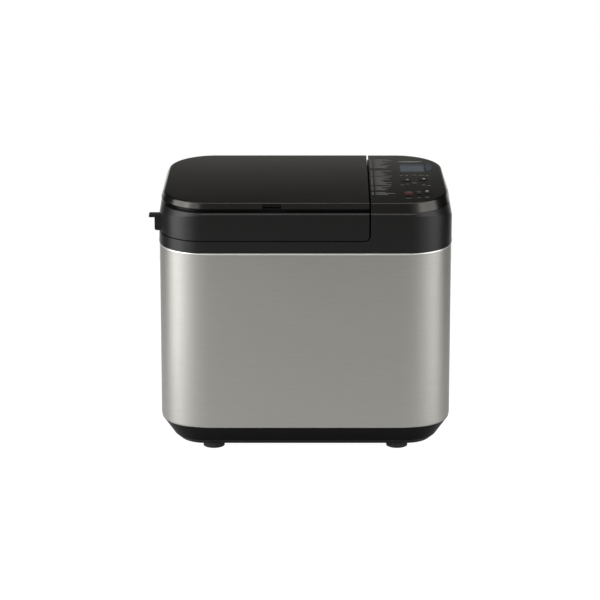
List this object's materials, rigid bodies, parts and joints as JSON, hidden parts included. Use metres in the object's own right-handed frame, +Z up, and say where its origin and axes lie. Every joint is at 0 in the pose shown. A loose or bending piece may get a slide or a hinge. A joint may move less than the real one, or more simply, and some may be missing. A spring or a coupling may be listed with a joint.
{
  "type": "bread machine",
  "caption": "Countertop bread machine: brushed steel body on a tapered black base, hinged lid with a lift-up dispenser cover, side control console and lift-out bread pan.",
  "frame": {"origin": "middle of the overall box, on the surface that the feet stand on", "axes": "+X to the right with the control console on the right, +Y to the back where the hinges are, +Z up"},
  "size_m": [0.4074, 0.2535, 0.3561],
  "materials": {
    "brushed_sleeve": "horizontally brushed, satin",
    "matte_black": "fine matte",
    "gloss_black": "polished",
    "display_window": "clear",
    "display": "smooth",
    "key_black": "satin",
    "key_red": "satin",
    "rubber_black": "matte",
    "silicone": "matte",
    "bare_steel": "bright",
    "oven_steel": "plain",
    "liner_aluminium": "satin",
    "pan_coating": "dark non-stick coating",
    "bearing_bronze": "plain",
    "coupling_metal": "cast",
    "board_green": "satin",
    "dark_plastic": "moulded",
    "dispenser_grey": "moulded",
    "motor_case": "plated"
  },
  "bodies": {
    "housing": {"base_tray": "matte_black", "outer_sleeve": "brushed_sleeve", "top_frame": "matte_black", "lid_hinge_rods": "bare_steel", "console_fascia": "gloss_black", "lcd_window": "display_window", "lcd_module": "display", "control_board": "board_green", "key_switches": "dark_plastic", "oven_chamber": "oven_steel", "chamber_spacers": "liner_aluminium", "heater_element": "bare_steel", "temperature_sensor": "bare_steel", "pan_socket": "oven_steel", "chassis_plate": "bare_steel", "chassis_screws": "bare_steel", "bearing_housing": "liner_aluminium", "shaft_bush": "bearing_bronze", "motor_body": "motor_case", "motor_screws": "bare_steel", "drive_belt": "rubber_black", "board_bracket": "bare_steel", "power_board": "board_green", "power_components": "dark_plastic", "cord_gland": "rubber_black", "foot_front_left": "rubber_black", "foot_back_left": "rubber_black", "foot_front_right": "rubber_black", "foot_back_right": "rubber_black"},
    "lid": {"lid_shell": "matte_black", "lid_liner": "liner_aluminium", "liner_posts": "liner_aluminium", "lid_gasket": "silicone", "dispenser_box": "dispenser_grey", "plate_hinge_pins": "bare_steel", "flap_pin": "bare_steel"},
    "cover": {"top_plate": "gloss_black"},
    "flap": {"dispenser_flap": "dispenser_grey"},
    "pan": {"bread_pan": "pan_coating", "pan_base": "liner_aluminium", "pan_bearing": "bearing_bronze", "handle_ears": "bare_steel"},
    "handle": {"pan_handle": "bare_steel"},
    "blade": {"pan_shaft": "bare_steel", "pan_coupling": "coupling_metal", "kneading_blade": "pan_coating"},
    "drive": {"drive_shaft": "bare_steel", "drive_coupling": "coupling_metal", "large_pulley": "dark_plastic"},
    "rotor": {"motor_shaft": "bare_steel", "small_pulley": "dark_plastic"},
    "menu_key": {"menu_key": "key_black"},
    "size_key": {"size_key": "key_black"},
    "stop_key": {"stop_key": "key_red"},
    "time_down_key": {"time_down_key": "key_black"},
    "time_up_key": {"time_up_key": "key_black"}
  },
  "joints": [
    {"name": "lid_hinge", "type": "hinge", "parent": "housing", "child": "lid", "pos_m": [-0.04935, 0.119, 0.3115], "axis": [-1, 0, 0], "range_deg": [0, 80]},
    {"name": "cover_hinge", "type": "hinge", "parent": "lid", "child": "cover", "pos_m": [-0.04935, 0.121, 0.3444], "axis": [-1, 0, 0], "range_deg": [0, 80]},
    {"name": "flap_hinge", "type": "hinge", "parent": "lid", "child": "flap", "pos_m": [-0.04935, 0.066, 0.3085], "axis": [1, 0, 0], "range_deg": [0, 75]},
    {"name": "pan_lift", "type": "slide", "parent": "housing", "child": "pan", "axis": [0, 0, 1], "range_m": [0, 0.025]},
    {"name": "handle_fold", "type": "hinge", "parent": "pan", "child": "handle", "pos_m": [-0.04935, 0, 0.2821], "axis": [-1, 0, 0], "range_deg": [0, 90]},
    {"name": "drive_spin", "type": "hinge", "parent": "housing", "child": "drive", "pos_m": [-0.04935, 0, 0.074], "axis": [0, 0, 1], "continuous": true},
    {"name": "blade_spin", "type": "hinge", "parent": "pan", "child": "blade", "pos_m": [-0.04935, 0, 0.1251], "axis": [0, 0, 1], "continuous": true},
    {"name": "motor_spin", "type": "hinge", "parent": "housing", "child": "rotor", "pos_m": [0.13175, 0, 0.074], "axis": [0, 0, 1], "continuous": true},
    {"name": "menu_key_press", "type": "slide", "parent": "housing", "child": "menu_key", "axis": [0, 0, -1], "range_m": [0, 0.001], "stiffness_N_per_m": 400},
    {"name": "size_key_press", "type": "slide", "parent": "housing", "child": "size_key", "axis": [0, 0, -1], "range_m": [0, 0.001], "stiffness_N_per_m": 400},
    {"name": "stop_key_press", "type": "slide", "parent": "housing", "child": "stop_key", "axis": [0, 0, -1], "range_m": [0, 0.001], "stiffness_N_per_m": 400},
    {"name": "time_down_key_press", "type": "slide", "parent": "housing", "child": "time_down_key", "axis": [0, 0, -1], "range_m": [0, 0.001], "stiffness_N_per_m": 400},
    {"name": "time_up_key_press", "type": "slide", "parent": "housing", "child": "time_up_key", "axis": [0, 0, -1], "range_m": [0, 0.001], "stiffness_N_per_m": 400}
  ],
  "couplings": [
    {"joint": "blade_spin", "follows": "drive_spin", "ratio": 1},
    {"joint": "motor_spin", "follows": "drive_spin", "ratio": 5}
  ]
}
